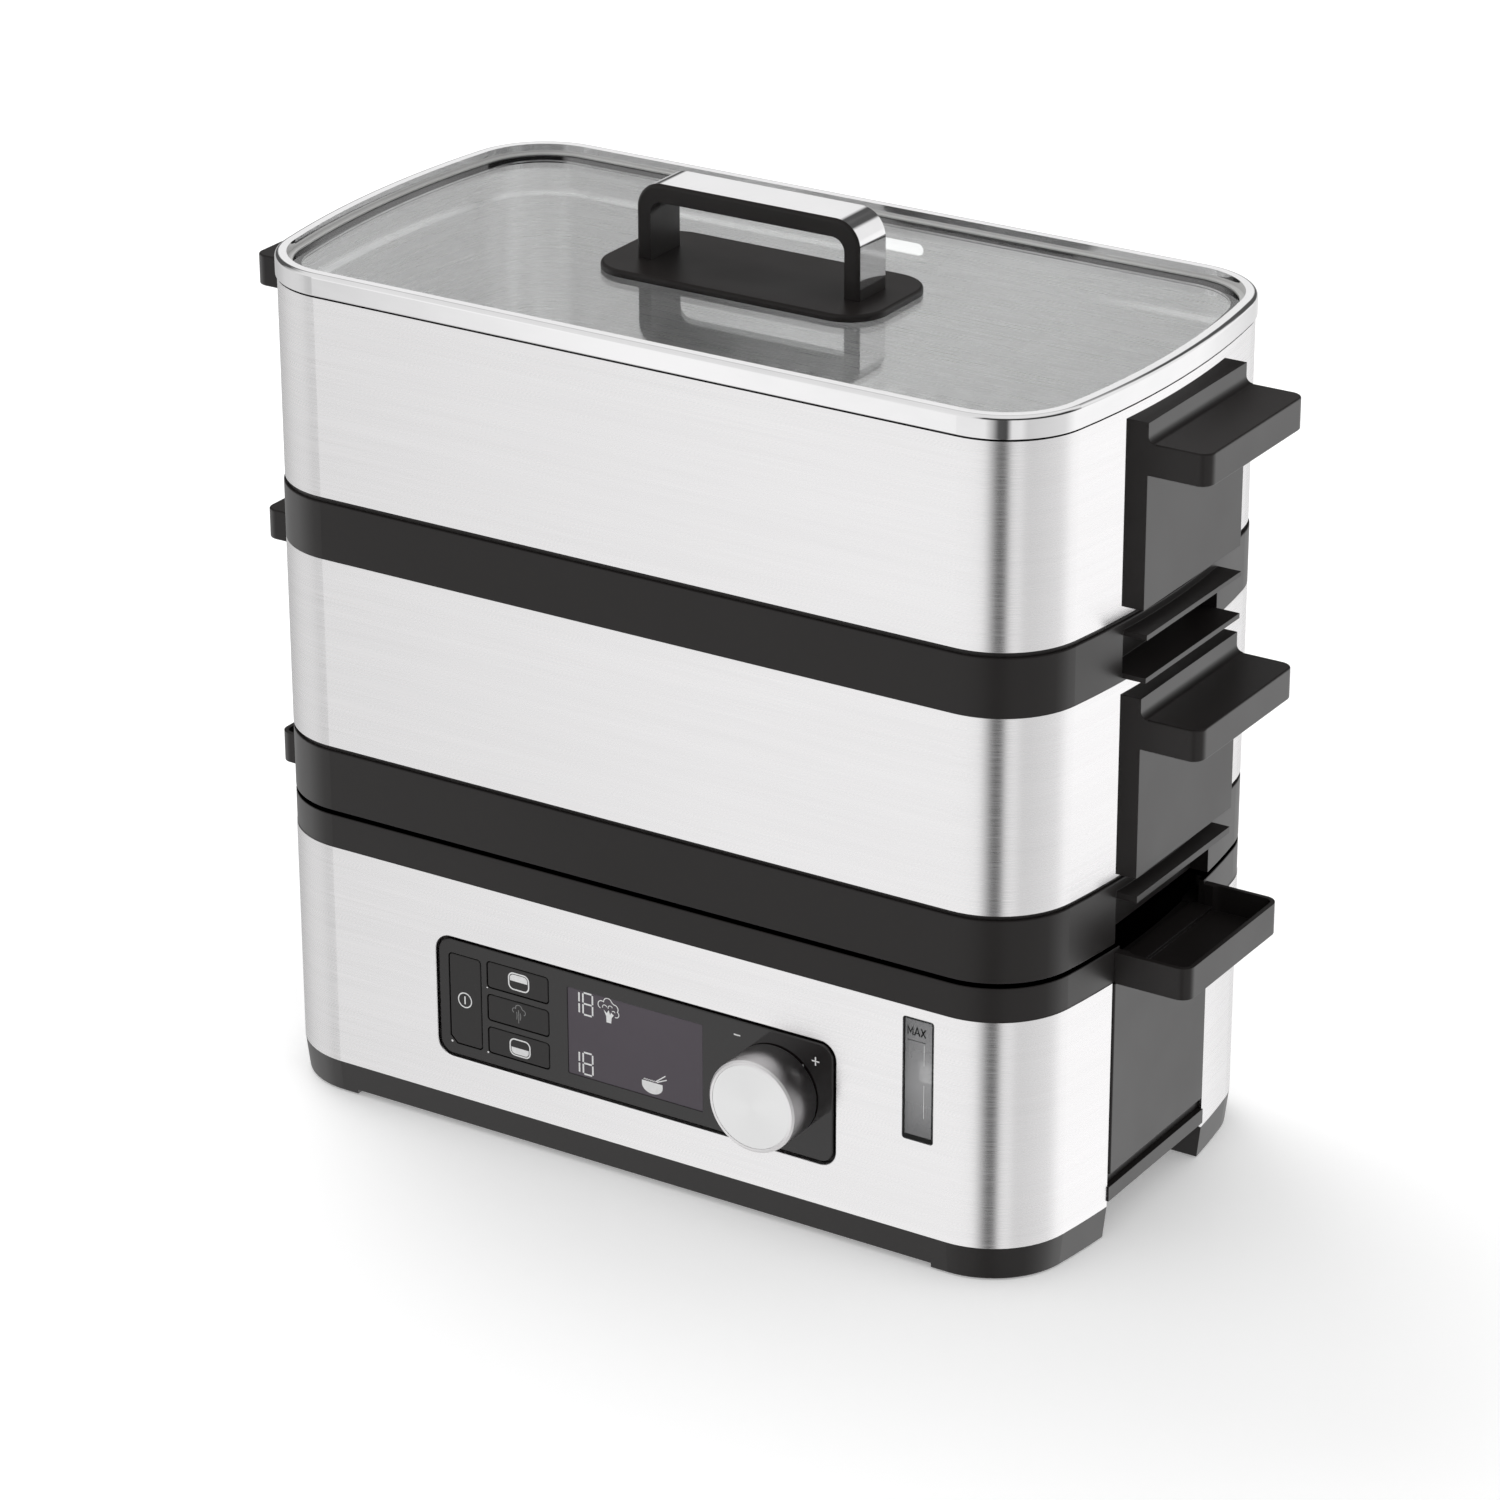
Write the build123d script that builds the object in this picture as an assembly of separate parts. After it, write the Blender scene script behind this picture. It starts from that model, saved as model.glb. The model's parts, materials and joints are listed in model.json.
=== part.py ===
"""Two-tier electric food steamer: base with water tank, heater and controls, two drip trays,
two steel baskets and a glass lid. Millimetres, +Z up, front face towards -Y, standing on Z = 0.
Everything is drawn about the body's own centre line and moved by BODY_Y at export, so that the
origin is the centre of the floor rectangle under the whole machine."""
from build123d import *
from math import asin, degrees, sqrt
import os

# ---- driving dimensions -------------------------------------------------------------------
HALF_LENGTH = 159.2      # body centre to the middle of a bowed end
HALF_DEPTH = 83.2        # body centre to the flat front
CORNER_R = 30.5
END_R = 350.0            # radius of the bowed ends
BASE_STEP = 0.2          # how far the base's steel stands out from the collar, trays and lower basket
UPPER_STEP = -0.4        # upper basket, against the lower one

RING_TOP = 12.5          # height of the black foot ring
STEEL_TOP = 96.2         # top of the steel on the base
COLLAR_TOP = 108.6
TIER1_Z0 = 134.6         # lower basket, bottom and top of its steel
TIER1_Z1 = 204.1
TIER2_Z0 = 226.7
TIER2_Z1 = 297.9
RIM_Z0 = 298.4
RIM_Z1 = 306.4
HANDLE_TOP = 332.4       # top of the lid's arch

SHEET = 0.8              # steel sheet
WALL = 2.4               # moulded walls
GAP = 0.4                # free play between stacked pieces
NECK, NECK_IN = 1.6, 1.2 # shadow line between a tray's band and the steel: height, depth
SIDE_HALF = 33.6         # half width of covers, grips and filler trays on the two ends
GRIP_X = 187.1           # outer reach of the side handles
FILLER_X = 185.2         # outer reach of the filler trays
GRIP_PLATE_X = 165.3     # outer face of the side handles' plates
GRIP1_TOP = 200.0        # top of the lower and of the upper side handles
GRIP2_TOP = 294.7
FLANGE_HALF = 32.4       # half width of the drip trays' lifting flanges

PANEL_W, PANEL_H, PANEL_R = 160.4, 44.2, 5.2
PANEL_GAP = 1.1          # between the panel and the steel round it
LIP_DEPTH = 2.0          # how far the steel is turned in round the panel
PANEL_Z = 51.0
FRONT_Y = -(HALF_DEPTH + BASE_STEP)
PANEL_FRONT = FRONT_Y + 0.2
PANEL_BACK = PANEL_FRONT + 2.5
LCD_X, LCD_W, LCD_H = 1.0, 54.9, 33.0
POWER_X, POWER_W, POWER_H = -69.2, 13.0, 34.2
KEY_X, KEY_W, KEY_H, KEY_PITCH = -47.1, 25.2, 9.7, 12.6
KEY_TRAVEL = 0.8
BOARD_Y = FRONT_Y + 10.0
KNOB_X, KNOB_R, KNOB_PROUD = 57.3, 16.8, 15.0
SHAFT_R = 3.0
RUNNING_FIT = 0.05
WINDOW_X, WINDOW_Z, WINDOW_W, WINDOW_H = 113.0, 69.7, 11.6, 45.0
FLOAT_X, FLOAT_Y, FLOAT_Z, FLOAT_R, FLOAT_H = 109.9, -70.5, 63.5, 4.0, 7.4

TANK_FLOOR = 46.0
TANK_WALL = 2.2
TANK_FRONT = -46.0
DECK = 2.5
FLOOR_Z0, FLOOR_Z1 = 5.6, 8.0
COVER_Z0, COVER_Z1 = 24.7, 95.7
COVER_X, COVER_BACK = 158.4, 156.2
SILL_Z0, SILL_Z1 = 14.5, 19.9
HEATER_Y = 14.0
HEATER_R = 29.0
GLAND_X, GLAND_Z, GLAND_PROUD = -112.0, 30.0, 2.0

PAD_W, PAD_D, PAD_R, PAD_T = 109.6, 48.0, 14.0, 2.4
GLASS_Z0, GLASS_Z1 = 299.4, 302.9
ARCH_HALF, ARCH_T, ARCH_BAR, ARCH_DEPTH = 43.6, 5.6, 6.3, 18.0
STRIP_T, STRIP_DEPTH, STRIP_Z0 = 1.2, 16.0, 309.4
LID_SCREW_X = 40.2

BODY_Y = (KNOB_PROUD - GLAND_PROUD) / 2

nodes = {}


# ---- helpers ------------------------------------------------------------------------------
def plan(grow=0.0):
    """The body's outline: straight front and back, bowed ends, tangent corners."""
    half_length, half_depth = HALF_LENGTH + grow, HALF_DEPTH + grow
    corner, end = CORNER_R + grow, END_R + grow
    end_x = half_length - end
    corner_y = half_depth - corner
    corner_x = end_x + sqrt((end - corner) ** 2 - corner_y ** 2)
    turn = degrees(asin(corner_y / (end - corner)))
    quarter = 90 - turn
    edges = [
        Line((-corner_x, -half_depth), (corner_x, -half_depth)),
        CenterArc((corner_x, -corner_y), corner, -90, quarter),
        CenterArc((end_x, 0), end, -turn, 2 * turn),
        CenterArc((corner_x, corner_y), corner, turn, quarter),
        Line((corner_x, half_depth), (-corner_x, half_depth)),
        CenterArc((-corner_x, corner_y), corner, 90, quarter),
        CenterArc((-end_x, 0), end, 180 - turn, 2 * turn),
        CenterArc((-corner_x, -corner_y), corner, 180 + turn, quarter),
    ]
    return make_face(edges)


def prism(grow, z0, z1):
    return Pos(0, 0, z0) * extrude(plan(grow), amount=z1 - z0)


def ring(outer, inner, z0, z1):
    return Pos(0, 0, z0) * extrude(plan(outer) - plan(inner), amount=z1 - z0)


def block(x0, x1, y0, y1, z0, z1):
    centre = ((x0 + x1) / 2, (y0 + y1) / 2, (z0 + z1) / 2)
    return Pos(*centre) * Box(x1 - x0, y1 - y0, z1 - z0)


def rod_z(x, y, z0, z1, r):
    return Pos(x, y, (z0 + z1) / 2) * Cylinder(r, z1 - z0)


def rod_y(x, z, y0, y1, r):
    return Pos(x, (y0 + y1) / 2, z) * Rot(90, 0, 0) * Cylinder(r, y1 - y0)


def rod_x(y, z, x0, x1, r):
    return Pos((x0 + x1) / 2, y, z) * Rot(0, 90, 0) * Cylinder(r, x1 - x0)


def front_plate(x, z, width, height, r, y0, y1):
    """A rounded rectangle facing the front, from y0 (nearer the user) back to y1."""
    sketch = RectangleRounded(width, height, r)
    return Pos(x, y1, z) * Rot(90, 0, 0) * extrude(sketch, amount=y1 - y0)


def both_ends(make):
    """One piece for each end: make(+1) for the right, make(-1) for the left."""
    return {"right": make(1), "left": make(-1)}


def end_block(side, x0, x1, half, z0, z1):
    low, high = sorted((side * x0, side * x1))
    return block(low, high, -half, half, z0, z1)


# ---- base: covers ---------------------------------------------------------------------------
def steel_half(front):
    """Half of the brushed wrap round the base, ending at the side covers."""
    wrap = ring(BASE_STEP, BASE_STEP - SHEET, RING_TOP, STEEL_TOP)
    if front:
        wrap &= block(-200, 200, -200, -SIDE_HALF, 0, 200)
        wrap += panel_outline(PANEL_GAP + SHEET, FRONT_Y + 0.2, FRONT_Y + LIP_DEPTH)
        wrap -= panel_outline(PANEL_GAP, -95, -70)
        flat = wrap.faces().filter_by(Axis.Y).sort_by(Axis.Y)[0]
        wrap = fillet(flat.inner_wires().edges(), 0.4)
        wrap -= front_plate(WINDOW_X, WINDOW_Z, WINDOW_W + 0.4, WINDOW_H + 0.4, 1.2, -95, -70)
    else:
        wrap &= block(-200, 200, SIDE_HALF, 200, 0, 200)
        wrap -= rod_y(GLAND_X, GLAND_Z, 70, 95, 6.2)
    return wrap


def panel_outline(grow, y0, y1):
    return front_plate(0, PANEL_Z, PANEL_W + 2 * grow, PANEL_H + 2 * grow, PANEL_R + grow, y0, y1)


def base_frame():
    """Moulded inner wall that carries the wrap, the panel and the side covers."""
    frame = ring(BASE_STEP - SHEET - 0.05, -3.7, RING_TOP, STEEL_TOP - DECK)
    frame -= panel_outline(PANEL_GAP + SHEET + 0.1, -95, PANEL_BACK)
    frame -= panel_outline(-2.6, -95, -70)
    frame -= front_plate(WINDOW_X, WINDOW_Z, WINDOW_W + 4, WINDOW_H + 4, 2, -95, -70)
    frame -= rod_y(GLAND_X, GLAND_Z, 70, 95, 6.2)
    for side in (1, -1):
        frame -= end_block(side, COVER_BACK, 180, SIDE_HALF - 0.1, SILL_Z1, 100)
        frame += end_block(side, COVER_BACK - 1.6, COVER_BACK, SIDE_HALF + 1, SILL_Z1, STEEL_TOP - DECK)
        frame -= end_block(side, 134, 180, SIDE_HALF + 0.1, 0, SILL_Z1 + 0.1)
    return frame


def side_cover(side):
    """Plain flat cover between the two halves of the wrap, with a shadow gap under it."""
    cover = end_block(side, COVER_BACK, COVER_X, SIDE_HALF - 0.5, COVER_Z0, COVER_Z1)
    return fillet(cover.edges().filter_by(Axis.Z), 0.8)


def lifting_recess(side):
    """Finger room under each end: walls and ceiling, cheeks down to the ground, and the outer sill."""
    house = end_block(side, 136, 170, SIDE_HALF + WALL, FLOOR_Z0, SILL_Z0 + 2)
    house &= prism(-2.4, 0, RING_TOP) + prism(-3.8, RING_TOP, 40)
    cheeks = end_block(side, 146, 170, SIDE_HALF + WALL, 0.6, FLOOR_Z1) & prism(-4.1, 0, RING_TOP)
    sill = end_block(side, COVER_BACK - 4, COVER_X, SIDE_HALF - 0.1, SILL_Z0, SILL_Z1)
    room = end_block(side, 138.2, 200, SIDE_HALF, -1, SILL_Z0)
    return house + cheeks + sill, room


def bottom_tray():
    """Foot ring, floor, corner feet and the lifting recess under each end."""
    low, high = plan(BASE_STEP - 1.4), Pos(0, 0, RING_TOP) * plan(BASE_STEP)
    tray = loft([low, high], ruled=True) - prism(-2.8, FLOOR_Z1, 40)
    tray -= block(-118, 118, -200, 200, -1, 2.2)
    tray -= prism(-4.2, -1, FLOOR_Z0)
    for x, y in FOOT_POINTS:
        tray += rod_z(x, y, 0.6, 6, 12) & prism(BASE_STEP - 1.6, 0, 20)
        tray -= rod_z(x, y, -1, 2.5, 8.2)
    tray -= block(-200, 200, -200, 200, -1, 0.6)
    for side in (1, -1):
        house, room = lifting_recess(side)
        tray += house
        tray -= room
    for x, y in SCREW_POSTS:
        tray -= rod_z(x, y, 4, 12, 1.9)
    for x, y in BOARD_STANDS:
        tray += rod_z(x, y, 6, POWER_Z, 3)
    for row in range(7):
        tray -= block(-40, 40, -22 + 7 * row, -19.5 + 7 * row, 4, 10)
    return tray


POWER_BOARD = (-132, -46, -20, 50)
POWER_Z = 15.0
BOARD_STANDS = [(x, y) for x in (-126, -52) for y in (-14, 44)]
SCREW_POSTS = [(-118, 56), (118, 56), (-118, -28), (118, -28), (0, 64), (0, -36)]
FOOT_POINTS = [(x, y) for x in (-137, 137) for y in (-56, 56)]


def foot_pads():
    return [rod_z(x, y, 0, 2.5, 8) for x, y in FOOT_POINTS]


def base_screws():
    return [rod_z(x, y, 3.8, FLOOR_Z0, 3.4) + rod_z(x, y, FLOOR_Z0, 26, 1.7) for x, y in SCREW_POSTS]


# ---- base: water side -----------------------------------------------------------------------
def tank_outline(grow):
    tub = plan(-6.4 + grow) & (Pos(0, 100 + TANK_FRONT - grow) * Rectangle(400, 200))
    nose_y0, nose_y1 = FRONT_Y + 4.4 - grow, TANK_FRONT + 12
    nose = Pos(WINDOW_X, (nose_y0 + nose_y1) / 2) * Rectangle(30 + 2 * grow, nose_y1 - nose_y0)
    return tub + nose


def water_tank():
    """Open tub with a nose behind the level window, a deck over the electronics and six posts."""
    deck_z = STEEL_TOP - DECK
    tank = Pos(0, 0, TANK_FLOOR) * extrude(tank_outline(0), amount=deck_z - TANK_FLOOR)
    tank += prism(BASE_STEP - SHEET - 0.1, deck_z, STEEL_TOP)
    tank -= Pos(0, 0, TANK_FLOOR + TANK_WALL) * extrude(tank_outline(-TANK_WALL), amount=80)
    tank -= front_plate(WINDOW_X, WINDOW_Z, WINDOW_W, WINDOW_H, 1, FRONT_Y + 1, FRONT_Y + 10)
    for x in (FLOAT_X - 6.6, FLOAT_X + 5.0):
        tank += block(x, x + 1.6, -72, -62, TANK_FLOOR + 1, 91)
    for x, y in SCREW_POSTS:
        tank += rod_z(x, y, FLOOR_Z1, TANK_FLOOR + 1, 4.5)
        tank -= rod_z(x, y, FLOOR_Z1 - 1, 28, 1.75)
    for side in (1, -1):
        tank -= end_block(side, COVER_BACK - 0.1, 180, SIDE_HALF - 0.3, 90, 120)
    for x, y in heater_points():
        tank -= rod_z(x, y, TANK_FLOOR - 1, TANK_FLOOR + 1.5, 1.65)
    tank -= rod_z(0, HEATER_Y, TANK_FLOOR - 5, TANK_FLOOR + 5, HEATER_R + 0.3)
    return tank


def tank_gasket():
    return ring(-5.0, -7.4, STEEL_TOP, STEEL_TOP + 1.8)


def base_collar():
    """Black collar above the steel; its ends are open towards the filler trays."""
    collar = prism(0, STEEL_TOP, COLLAR_TOP)
    collar = chamfer(collar.faces().sort_by(Axis.Z)[-1].edges(), 0.3) - prism(-8.2, 90, 120)
    collar -= prism(-2.0, STEEL_TOP + 3.6, 120)
    collar -= ring(-4.9, -7.5, 90, STEEL_TOP + 1.9)
    collar -= end_block(1, 140, 180, 29.5, STEEL_TOP + 2.6, 120)
    collar -= end_block(-1, 140, 180, 29.5, STEEL_TOP + 2.6, 120)
    return collar


def filler_tray(side):
    """Open trough at each end: pour water in here, and lift the base by it."""
    low, high = COVER_Z1 + 0.1, COLLAR_TOP - 1.4
    tray = end_block(side, 140, FILLER_X, SIDE_HALF - 1.2, low, high)
    tray = fillet(tray.edges().filter_by(Axis.Z), 4.6)
    hollow = end_block(side, 161.2, FILLER_X - 1.6, SIDE_HALF - 2.8, low + 2.2, high + 5)
    hollow = fillet(hollow.edges().filter_by(Axis.Z), 3)
    tray -= hollow
    tray -= prism(0.02, 80, 120)
    tray += end_block(side, 153.5, 161.4, 29.3, STEEL_TOP + 2.6, STEEL_TOP + 3.5)
    return tray - end_block(side, 150, 162, 29.3, STEEL_TOP + 3.5, 120)


def heater_plate():
    plate = rod_z(0, HEATER_Y, TANK_FLOOR - 6, TANK_FLOOR - 1.2, HEATER_R + 12)
    plate += rod_z(0, HEATER_Y, TANK_FLOOR - 1.2, TANK_FLOOR + 4, HEATER_R)
    for x, y in heater_points():
        plate -= rod_z(x, y, 30, 60, 1.9)
    return plate


def heater_points():
    return [(loc.position.X, loc.position.Y + HEATER_Y) for loc in PolarLocations(HEATER_R + 8, 3, 30)]


def heating_element():
    """Tubular element, an open loop clamped under the plate, with its two cold ends turned down."""
    z = TANK_FLOOR - 6 - 3.3
    loop = CenterArc((0, HEATER_Y, z), 23, 110, 320)
    tube = sweep(Plane(loop @ 0, z_dir=loop % 0) * Circle(3.25), path=loop)
    for end in (loop @ 0, loop @ 1):
        tube += rod_z(end.X, end.Y, z - 14, z + 1.5, 3.2)
    return tube


def heater_seal():
    seal = rod_z(0, HEATER_Y, TANK_FLOOR - 1.2, TANK_FLOOR, HEATER_R + 4)
    return seal - rod_z(0, HEATER_Y, 30, 60, HEATER_R + 0.1)


def heater_screws():
    return [
        rod_z(x, y, TANK_FLOOR - 8, TANK_FLOOR - 6, 3.2) + rod_z(x, y, TANK_FLOOR - 6, TANK_FLOOR + 1.4, 1.6)
        for x, y in heater_points()
    ]


def thermostat():
    top = TANK_FLOOR - 6
    body = rod_z(0, HEATER_Y, top - 9, top, 8)
    body += block(-12, 12, HEATER_Y - 3, HEATER_Y + 3, top - 1.2, top)
    for x in (-4, 4):
        body += block(x - 0.4, x + 0.4, HEATER_Y - 3, HEATER_Y + 3, top - 17, top - 9)
    return body


def thermal_fuse():
    z = TANK_FLOOR - 9
    return rod_x(HEATER_Y + 34.5, z, -9, 9, 2.4) + block(-5, 5, HEATER_Y + 33.5, HEATER_Y + 35.5, z, z + 3)


def steam_diffuser():
    """Ring standing over the heater, so that a little water boils at once."""
    z0 = TANK_FLOOR + TANK_WALL
    ring_wall = rod_z(0, HEATER_Y, z0, z0 + 30, 42) - rod_z(0, HEATER_Y, z0 - 1, z0 + 28, 40)
    ring_wall -= rod_z(0, HEATER_Y, z0, z0 + 40, 22)
    for angle in range(0, 180, 45):
        slot = Pos(0, HEATER_Y, z0 + 2) * Rot(0, 0, angle) * Box(100, 8, 6)
        ring_wall -= slot
    return ring_wall


def water_window():
    pane = front_plate(WINDOW_X, WINDOW_Z, WINDOW_W, WINDOW_H, 0.8, FRONT_Y + 0.1, FRONT_Y + 2.2)
    pane += front_plate(WINDOW_X, WINDOW_Z, WINDOW_W + 3, WINDOW_H + 3, 2, FRONT_Y + SHEET, FRONT_Y + 3.4)
    pane += front_plate(WINDOW_X, WINDOW_Z, WINDOW_W - 0.4, WINDOW_H - 0.4, 0.8, FRONT_Y + 3.4, FRONT_Y + 5.6)
    return pane


def window_seal():
    seal = front_plate(WINDOW_X, WINDOW_Z, WINDOW_W + 3, WINDOW_H + 3, 2, FRONT_Y + 3.4, FRONT_Y + 4.4)
    return seal - front_plate(WINDOW_X, WINDOW_Z, WINDOW_W - 0.3, WINDOW_H - 0.3, 0.8, FRONT_Y + 3, FRONT_Y + 5)


def level_float():
    body = rod_z(FLOAT_X, FLOAT_Y, FLOAT_Z, FLOAT_Z + FLOAT_H, FLOAT_R)
    return fillet(body.edges(), 1.5)


# ---- base: controls -------------------------------------------------------------------------
def key_places():
    """Each sprung button: centre x, centre z, width, height."""
    places = {"power_button": (POWER_X, PANEL_Z - 0.4, POWER_W, POWER_H)}
    for name, row in (("upper_tier_button", 1), ("steam_button", 0), ("lower_tier_button", -1)):
        places[name] = (KEY_X, PANEL_Z + row * KEY_PITCH, KEY_W, KEY_H)
    return places


def power_key_corner(reach, y0, y1):
    """All that lies outside the slanted lower corner of the power key, beside its lamp."""
    corner = Pos(POWER_X - POWER_W / 2, (y0 + y1) / 2, PANEL_Z - 0.4 - POWER_H / 2)
    return corner * Rot(0, 45, 0) * Pos(0, 0, reach - 5) * Box(10, y1 - y0, 10)


BOARD_POSTS = [(x, PANEL_Z + z) for x in (-30.9, 74) for z in (-16, 16)]


def control_panel():
    panel = panel_outline(0, PANEL_FRONT, PANEL_BACK)
    panel = fillet(panel.faces().sort_by(Axis.Y)[0].edges(), 0.5)
    for x, z, width, height in key_places().values():
        panel -= front_plate(x, z, width + 0.8, height + 0.8, 1.6, -95, -70)
    slant = power_key_corner(1.45, PANEL_FRONT, PANEL_BACK)
    panel += slant & front_plate(POWER_X, PANEL_Z - 0.4, POWER_W + 2, POWER_H + 2, 1, -95, -70)
    panel -= front_plate(LCD_X, PANEL_Z, LCD_W + 0.2, LCD_H + 0.2, 0.6, -95, -70)
    panel -= rod_y(KNOB_X, PANEL_Z, -95, -70, 4.5)
    for x, z in BOARD_POSTS:
        panel += rod_y(x, z, PANEL_BACK, BOARD_Y, 2.2)
        panel -= rod_y(x, z, PANEL_BACK + 0.5, BOARD_Y + 1, 1.25)
    return panel


def button(x, z, width, height):
    cap = front_plate(x, z, width, height, 1.2, PANEL_FRONT, PANEL_BACK + 0.2)
    if x == POWER_X:
        cap -= power_key_corner(1.85, PANEL_FRONT - 1, PANEL_BACK + 1)
    cap = fillet(cap.faces().sort_by(Axis.Y)[0].edges(), 0.35)
    cap += front_plate(x, z, width + 1.8, height + 1.8, 1.6, PANEL_BACK + 0.1, PANEL_BACK + 1.0)
    return cap + rod_y(x, z, PANEL_BACK + 1.0, BOARD_Y - 3.5 - 0.1 - KEY_TRAVEL, 1.6)


def tact_switches():
    return [
        front_plate(x, z, 6, 6, 0.5, BOARD_Y - 3.5, BOARD_Y) for x, z, _, _ in key_places().values()
    ]


def lcd_display():
    return front_plate(LCD_X, PANEL_Z, LCD_W, LCD_H, 0.5, PANEL_FRONT + 0.15, PANEL_BACK)


def lcd_module():
    return front_plate(LCD_X, PANEL_Z, LCD_W + 2.4, LCD_H + 4, 0.8, PANEL_BACK, BOARD_Y)


def control_board():
    board = block(-78, 78.5, BOARD_Y, BOARD_Y + 1.6, PANEL_Z - 19.5, PANEL_Z + 19.5)
    for x, z in BOARD_POSTS:
        board -= rod_y(x, z, BOARD_Y - 1, BOARD_Y + 3, 1.5)
    return board


def board_screws():
    return [
        rod_y(x, z, BOARD_Y + 1.6, BOARD_Y + 3.2, 2.6) + rod_y(x, z, BOARD_Y - 5, BOARD_Y + 1.6, 1.2)
        for x, z in BOARD_POSTS
    ]


def rotary_encoder():
    body = block(KNOB_X - 7, KNOB_X + 7, BOARD_Y - 6.5, BOARD_Y, PANEL_Z - 7, PANEL_Z + 7)
    body += rod_y(KNOB_X, PANEL_Z, PANEL_FRONT - 0.3, BOARD_Y - 6.5, 3.9)
    return body - rod_y(KNOB_X, PANEL_Z, -95, BOARD_Y - 2.5, SHAFT_R + RUNNING_FIT)


def knob_shaft():
    return rod_y(KNOB_X, PANEL_Z, FRONT_Y - KNOB_PROUD + 3, BOARD_Y - 3, SHAFT_R)


def knob_cap():
    """Turned cup with a bright bevel, a recessed face and a boss that grips the shaft."""
    front, back = FRONT_Y - KNOB_PROUD, PANEL_FRONT - 0.6
    cup = rod_y(KNOB_X, PANEL_Z, front, back, KNOB_R)
    cup = chamfer(cup.faces().sort_by(Axis.Y)[0].edges(), 0.7)
    cup -= rod_y(KNOB_X, PANEL_Z, front - 1, front + 0.5, KNOB_R - 1.6)
    cup -= rod_y(KNOB_X, PANEL_Z, front + 2.2, back + 1, KNOB_R - 1.8)
    boss = rod_y(KNOB_X, PANEL_Z, front + 2, back, 5.2)
    return cup + boss - rod_y(KNOB_X, PANEL_Z, front + 3.0, back + 1, SHAFT_R + 0.01)


def knob_face():
    front = FRONT_Y - KNOB_PROUD
    return rod_y(KNOB_X, PANEL_Z, front + 0.1, front + 0.5, KNOB_R - 1.65)


def power_board():
    x0, x1, y0, y1 = POWER_BOARD
    return block(x0, x1, y0, y1, POWER_Z, POWER_Z + 1.6)


def relays():
    return [block(x, x + 19, 0, 15.5, POWER_Z + 1.6, POWER_Z + 17) for x in (-100, -76)]


def terminal_block():
    body = block(-121, -111, -2, 38, POWER_Z + 1.6, POWER_Z + 13)
    for y in (3, 13, 23, 33):
        body -= rod_z(-116, y, POWER_Z + 9, POWER_Z + 14, 2)
    return body


def mains_gland():
    """Cord gland in the back; nothing runs through it here."""
    back = HALF_DEPTH + BASE_STEP
    gland = rod_y(GLAND_X, GLAND_Z, back, back + GLAND_PROUD, 8.5)
    gland += rod_y(GLAND_X, GLAND_Z, back - 16, back, 6.0)
    gland += rod_y(GLAND_X, GLAND_Z, back - 8, back - 3.9, 8.5)
    return gland - rod_y(GLAND_X, GLAND_Z, 50, 99, 3.6)


# ---- drip trays -----------------------------------------------------------------------------
def steam_opening(z_floor):
    """Raised oval collar that lets steam through the middle of a tray's floor."""
    outer = Pos(0, HEATER_Y - 4) * SlotOverall(74, 40)
    inner = Pos(0, HEATER_Y - 4) * SlotOverall(70, 36)
    lip = Pos(0, 0, z_floor) * extrude(outer - inner, amount=9)
    hole = Pos(0, 0, z_floor - 10) * extrude(inner, amount=30)
    return lip, hole


def tray_body(grow, z0, z1, spigot, spigot_depth, foot):
    """Band between two set-back necks, floor, steam collar and the spigot into the piece below."""
    floor = z0 + 2
    lip, hole = steam_opening(floor + 1)
    band = prism(grow, z0 + foot, z1 - NECK)
    band = fillet(band.faces().sort_by(Axis.Z)[-1].edges(), 0.5)
    body = band - prism(grow - WALL, z0 - 1, z1 + 1)
    body += ring(grow - NECK_IN, grow - WALL, z0, z1)
    body += prism(grow - WALL + 0.5, floor, floor + 2)
    body += ring(spigot, spigot - 1.8, z0 - spigot_depth, z0 + 3)
    body += lip
    return body - hole


def lower_drip_tray():
    """Its ends are cut back over the filler trays, under a ledge to lift it by."""
    z0, z1 = COLLAR_TOP + 0.1, TIER1_Z0 - 0.1
    tray = tray_body(0.0, z0, z1, -2.0 - GAP, 4.0, 1.7)
    for side in (1, -1):
        notch = end_block(side, 151, 200, FLANGE_HALF, z0 - 10, z1 - 7.6)
        housing = end_block(side, 149, 170, FLANGE_HALF + 2, z0, z1 - 5.2) & prism(-1, 0, 200)
        tray += housing + end_block(side, 150, 165.4, FLANGE_HALF, z1 - 7.6, z1 - 5.2)
        tray -= notch
    return tray


def upper_drip_tray():
    """A finger pocket between two flanges at each end."""
    z0, z1 = TIER1_Z1 + 0.1, TIER2_Z0 - 0.1
    tray = tray_body(0.0, z0, z1, -SHEET - GAP, 6.0, 0.0)
    for side in (1, -1):
        tray += end_block(side, 149, 170, SIDE_HALF, z0 + 1.2, z1 - 4.5) & prism(0, 0, 300)
        for z in (z0 + 1.2, z1 - 6.3):
            tray += end_block(side, 150, 166.3, FLANGE_HALF, z, z + 1.8)
        tray -= end_block(side, 151.5, 200, FLANGE_HALF, z0 + 3.0, z1 - 6.3)
    return tray


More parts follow.
